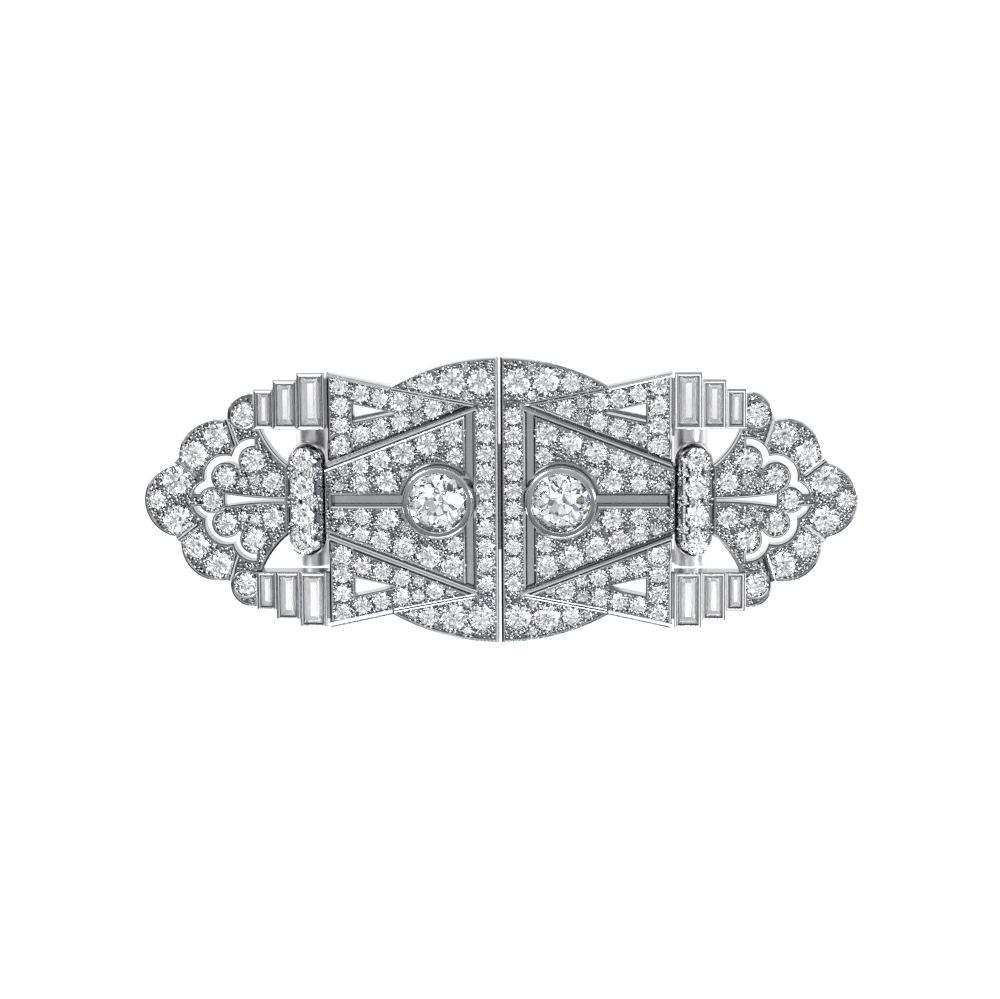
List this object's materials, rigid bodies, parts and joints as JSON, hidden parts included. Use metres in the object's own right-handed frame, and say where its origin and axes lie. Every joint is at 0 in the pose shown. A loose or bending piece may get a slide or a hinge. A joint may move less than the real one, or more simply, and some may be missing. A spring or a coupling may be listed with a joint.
{
  "type": "double clip brooch",
  "caption": "Art Deco double clip brooch: two mirrored pierced clips set with round and baguette stones, sliding on a hidden brooch frame with a pin.",
  "frame": {"origin": "centre of the brooch, at the plane that its back rests on", "axes": "+X along the brooch, +Y to its upper edge, +Z out of its face"},
  "size_m": [0.0642, 0.0258, 0.0089],
  "materials": {
    "platinum": "polished platinum with bright cut edges",
    "platinum_back": "satin platinum",
    "pin_steel": "polished pin wire",
    "diamond": "brilliant cut diamond",
    "baguette_diamond": "step cut diamond",
    "pave_diamond": "small single cut diamond"
  },
  "bodies": {
    "frame": {"brooch_frame": "platinum_back", "pin_stem": "pin_steel"},
    "clip_left": {"clip_metal_left": "platinum", "clip_flap_left": "platinum_back", "main_stone_left": "diamond", "baguette_left_upper_1": "baguette_diamond", "baguette_left_upper_2": "baguette_diamond", "baguette_left_upper_3": "baguette_diamond", "baguette_left_lower_1": "baguette_diamond", "baguette_left_lower_2": "baguette_diamond", "baguette_left_lower_3": "baguette_diamond", "border_stone_left_1": "diamond", "border_stone_left_2": "diamond", "border_stone_left_3": "diamond", "border_stone_left_4": "diamond", "border_stone_left_5": "diamond", "border_stone_left_6": "diamond", "border_stone_left_7": "diamond", "border_stone_left_8": "diamond", "border_stone_left_9": "diamond", "pave_strip_left": "pave_diamond", "pave_crescents_left": "pave_diamond", "pave_arms_left": "pave_diamond", "pave_field_left": "pave_diamond", "pave_roll_left": "pave_diamond", "pave_shell_left": "pave_diamond"},
    "clip_right": {"clip_metal_right": "platinum", "clip_flap_right": "platinum_back", "main_stone_right": "diamond", "baguette_right_upper_1": "baguette_diamond", "baguette_right_upper_2": "baguette_diamond", "baguette_right_upper_3": "baguette_diamond", "baguette_right_lower_1": "baguette_diamond", "baguette_right_lower_2": "baguette_diamond", "baguette_right_lower_3": "baguette_diamond", "border_stone_right_1": "diamond", "border_stone_right_2": "diamond", "border_stone_right_3": "diamond", "border_stone_right_4": "diamond", "border_stone_right_5": "diamond", "border_stone_right_6": "diamond", "border_stone_right_7": "diamond", "border_stone_right_8": "diamond", "border_stone_right_9": "diamond", "pave_strip_right": "pave_diamond", "pave_crescents_right": "pave_diamond", "pave_arms_right": "pave_diamond", "pave_field_right": "pave_diamond", "pave_roll_right": "pave_diamond", "pave_shell_right": "pave_diamond"}
  },
  "joints": [
    {"name": "left_clip_slide", "type": "slide", "parent": "frame", "child": "clip_left", "axis": [-1, 0, 0], "range_m": [0, 0.0106]},
    {"name": "right_clip_slide", "type": "slide", "parent": "frame", "child": "clip_right", "axis": [1, 0, 0], "range_m": [0, 0.0106]}
  ]
}
